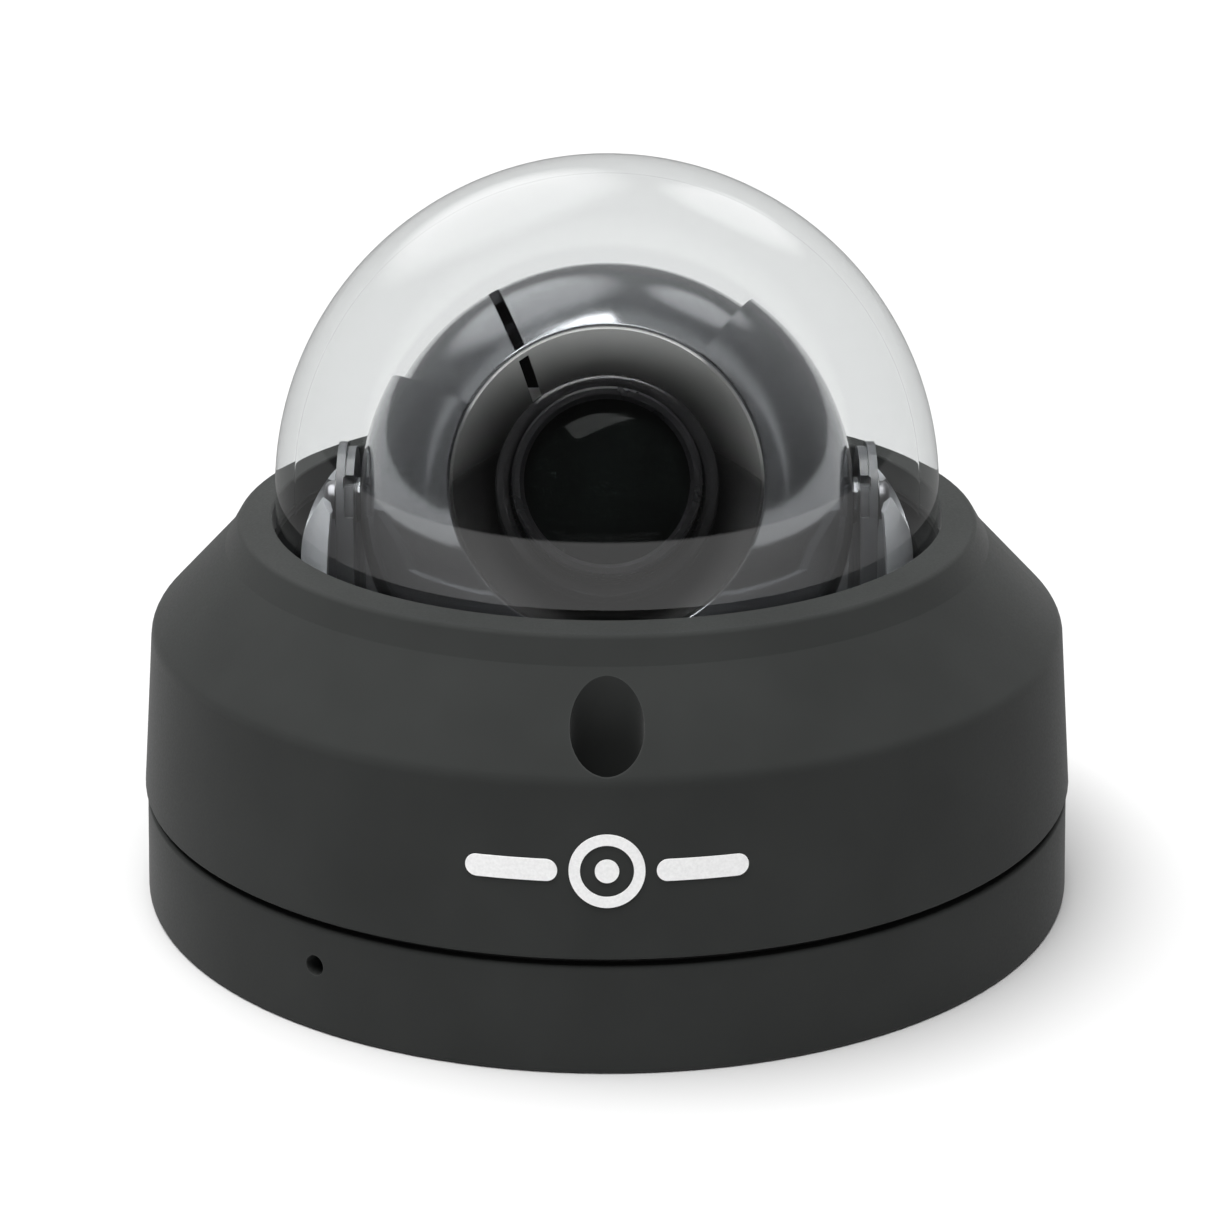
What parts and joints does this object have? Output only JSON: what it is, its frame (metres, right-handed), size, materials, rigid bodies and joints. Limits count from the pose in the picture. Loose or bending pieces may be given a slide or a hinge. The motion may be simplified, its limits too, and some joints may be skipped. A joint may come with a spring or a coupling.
{
  "type": "dome security camera",
  "caption": "Vandal-resistant dome security camera: cast base and lift-off cover with clear bubble, over an eyeball lens module that pans, tilts and rotates.",
  "frame": {"origin": "centre of the flat mounting face on the underside of the base", "axes": "+Z away from the mounting face towards the top of the bubble, -Y the way the lens looks at rest, +X to the right seen from the front"},
  "size_m": [0.122, 0.122, 0.0952],
  "materials": {
    "charcoal_casting": "fine powder coat",
    "black_rubber": "soft seal",
    "clear_polycarbonate": "optical clear",
    "black_plastic": "moulded",
    "grey_gloss_plastic": "gloss moulded",
    "silver_gloss_plastic": "gloss moulded",
    "grey_liner_plastic": "gloss moulded",
    "dark_bracket": "black coated steel",
    "board_green": "solder mask",
    "bare_aluminium": "extruded",
    "tinned_steel": "plated",
    "screw_steel": "zinc plated",
    "security_screw_steel": "blackened stainless",
    "brass_parts": "turned",
    "nylon_white": "moulded",
    "red_plastic": "moulded",
    "white_print": "pad print",
    "black_anodised": "black anodised",
    "coated_glass": "multi-coated",
    "sensor_chip": "chip under glass",
    "filter_glass": "infrared cut filter"
  },
  "bodies": {
    "base": {"base_casting": "charcoal_casting", "base_gasket": "black_rubber", "cable_gland": "black_rubber", "side_exit_plug": "black_rubber", "mic_boot": "black_rubber", "microphone": "tinned_steel", "main_board": "board_green", "soc_heatsink": "bare_aluminium", "lan_transformer": "black_plastic", "board_connectors": "nylon_white", "sd_socket": "tinned_steel", "reset_switch": "black_plastic", "board_standoffs": "brass_parts", "chassis_plate": "tinned_steel", "chassis_screws": "screw_steel", "pan_retainer": "tinned_steel", "pan_friction_washer": "brass_parts", "retainer_screws": "screw_steel"},
    "sd_card": {"micro_sd_card": "black_plastic"},
    "reset": {"reset_button": "red_plastic"},
    "cover": {"cover_housing": "charcoal_casting", "dome_bubble": "clear_polycarbonate", "dome_seal": "black_rubber", "dome_clamp_ring": "black_plastic", "clamp_screws": "screw_steel", "cover_screws": "security_screw_steel", "printed_mark": "white_print"},
    "pan": {"turntable": "black_plastic", "yoke_arm_left": "dark_bracket", "yoke_arm_right": "dark_bracket", "arm_screws": "screw_steel", "inner_liner": "grey_liner_plastic"},
    "tilt": {"cradle_front": "grey_gloss_plastic", "cradle_rear": "grey_gloss_plastic", "cradle_screws": "screw_steel", "pivot_washers": "black_plastic", "pivot_screws": "security_screw_steel"},
    "eyeball": {"ball_front_shell": "grey_gloss_plastic", "ball_rear_shell": "grey_gloss_plastic", "ball_screws": "screw_steel", "lens_bezel": "silver_gloss_plastic", "lens_mount": "bare_aluminium", "sensor_board": "board_green", "image_sensor": "sensor_chip", "sensor_screws": "screw_steel", "lens_barrel": "black_anodised", "lens_front_element": "coated_glass", "lens_retaining_ring": "black_anodised", "lens_middle_element": "coated_glass", "lens_rear_element": "coated_glass", "zoom_motor": "tinned_steel", "focus_motor": "tinned_steel", "ir_cut_actuator": "black_plastic"},
    "ir_filter": {"ir_cut_filter": "filter_glass"},
    "zoom": {"zoom_ring": "black_plastic"},
    "focus": {"focus_ring": "black_plastic"},
    "zoom_gear": {"zoom_pinion": "brass_parts"},
    "focus_gear": {"focus_pinion": "brass_parts"}
  },
  "joints": [
    {"name": "cover_lift", "type": "slide", "parent": "base", "child": "cover", "axis": [0, 0, 1], "range_m": [0, 0.11]},
    {"name": "pan_turn", "type": "hinge", "parent": "base", "child": "pan", "pos_m": [0, 0, 0.0166], "axis": [0, 0, 1], "range_deg": [-177.5, 177.5]},
    {"name": "tilt_swing", "type": "hinge", "parent": "pan", "child": "tilt", "pos_m": [0, 0, 0.0508], "axis": [-1, 0, 0], "range_deg": [-18, 62]},
    {"name": "lens_rotate", "type": "hinge", "parent": "tilt", "child": "eyeball", "pos_m": [0, 0, 0.0508], "axis": [0, -0.9205, 0.3907], "range_deg": [-177.5, 177.5]},
    {"name": "ir_filter_shift", "type": "slide", "parent": "eyeball", "child": "ir_filter", "axis": [-1, 0, 0], "range_m": [0, 0.007]},
    {"name": "zoom_turn", "type": "hinge", "parent": "eyeball", "child": "zoom", "pos_m": [0, 0, 0.0508], "axis": [0, -0.9205, 0.3907], "range_deg": [0, 100]},
    {"name": "focus_turn", "type": "hinge", "parent": "eyeball", "child": "focus", "pos_m": [0, 0, 0.0508], "axis": [0, -0.9205, 0.3907], "range_deg": [0, 80]},
    {"name": "zoom_pinion_turn", "type": "hinge", "parent": "eyeball", "child": "zoom_gear", "pos_m": [0, -0.00606, 0.03653], "axis": [0, -0.9205, 0.3907], "range_deg": [-420, 0]},
    {"name": "focus_pinion_turn", "type": "hinge", "parent": "eyeball", "child": "focus_gear", "pos_m": [0, 0.00606, 0.06507], "axis": [0, -0.9205, 0.3907], "range_deg": [-336, 0]},
    {"name": "sd_card_slide", "type": "slide", "parent": "base", "child": "sd_card", "axis": [1, 0, 0], "range_m": [0, 0.0135]},
    {"name": "reset_press", "type": "slide", "parent": "base", "child": "reset", "axis": [1, 0, 0], "range_m": [0, 0.0004], "stiffness_N_per_m": 600}
  ],
  "couplings": [
    {"joint": "zoom_pinion_turn", "follows": "zoom_turn", "ratio": -4.1667},
    {"joint": "focus_pinion_turn", "follows": "focus_turn", "ratio": -4.1667}
  ]
}
